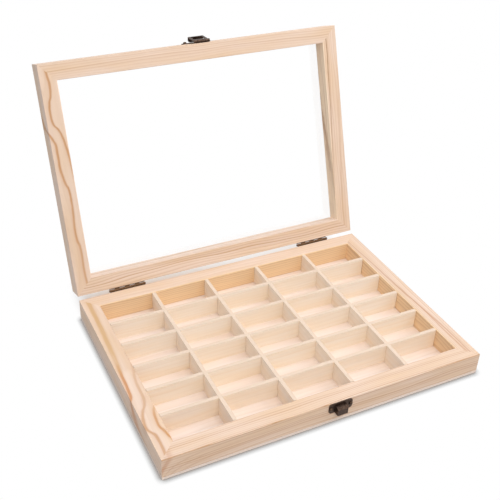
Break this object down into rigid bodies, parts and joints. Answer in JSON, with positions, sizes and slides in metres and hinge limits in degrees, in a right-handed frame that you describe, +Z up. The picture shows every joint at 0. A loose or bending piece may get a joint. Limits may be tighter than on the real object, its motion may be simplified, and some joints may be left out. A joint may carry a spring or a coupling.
{
  "type": "film canister storage box",
  "caption": "Flat pine storage box with a gridded tray of canister cells, a hinged glazed lid and a front hasp.",
  "frame": {"origin": "centre of the tray's underside, on the surface that the box stands on", "axes": "+Z up, -Y towards the front with the catch, +X to the right seen from the front"},
  "size_m": [0.35, 0.3643, 0.2666],
  "materials": {
    "pine": "sanded, unfinished pine",
    "basswood": "sanded, unfinished basswood",
    "plywood": "sanded thin plywood",
    "glass": "clear float glass",
    "bronze": "antique bronze, dark and satin",
    "steel": "bright wire"
  },
  "bodies": {
    "tray": {"tray_front_rail": "pine", "tray_right_rail": "pine", "tray_back_rail": "pine", "tray_left_rail": "pine", "bottom_panel": "plywood", "bottom_nails": "steel", "long_divider_1": "basswood", "long_divider_2": "basswood", "long_divider_3": "basswood", "long_divider_4": "basswood", "cross_divider_1": "basswood", "cross_divider_2": "basswood", "cross_divider_3": "basswood", "cross_divider_4": "basswood", "cross_divider_5": "basswood", "hinge_left_tray_leaf": "bronze", "hinge_right_tray_leaf": "bronze", "hinge_left_pin": "bronze", "hinge_right_pin": "bronze", "tray_hinge_screws": "bronze", "catch": "bronze", "catch_nails": "bronze"},
    "lid": {"lid_front_rail": "pine", "lid_right_rail": "pine", "lid_back_rail": "pine", "lid_left_rail": "pine", "glass_pane": "glass", "glazing_bead_front": "pine", "glazing_bead_right": "pine", "glazing_bead_back": "pine", "glazing_bead_left": "pine", "bead_brads": "steel", "hinge_left_lid_leaf": "bronze", "hinge_right_lid_leaf": "bronze", "lid_hinge_screws": "bronze", "hasp_plate": "bronze", "hasp_plate_nails": "bronze", "hasp_pin": "bronze"},
    "hasp": {"hasp": "bronze"}
  },
  "joints": [
    {"name": "lid_hinge", "type": "hinge", "parent": "tray", "child": "lid", "pos_m": [0, 0.1275, 0.0251], "axis": [1, 0, 0], "range_deg": [0, 109]},
    {"name": "hasp_hinge", "type": "hinge", "parent": "lid", "child": "hasp", "pos_m": [0.0075, 0.21297, 0.26504], "axis": [1, 0, 0], "range_deg": [0, 165.76]}
  ]
}
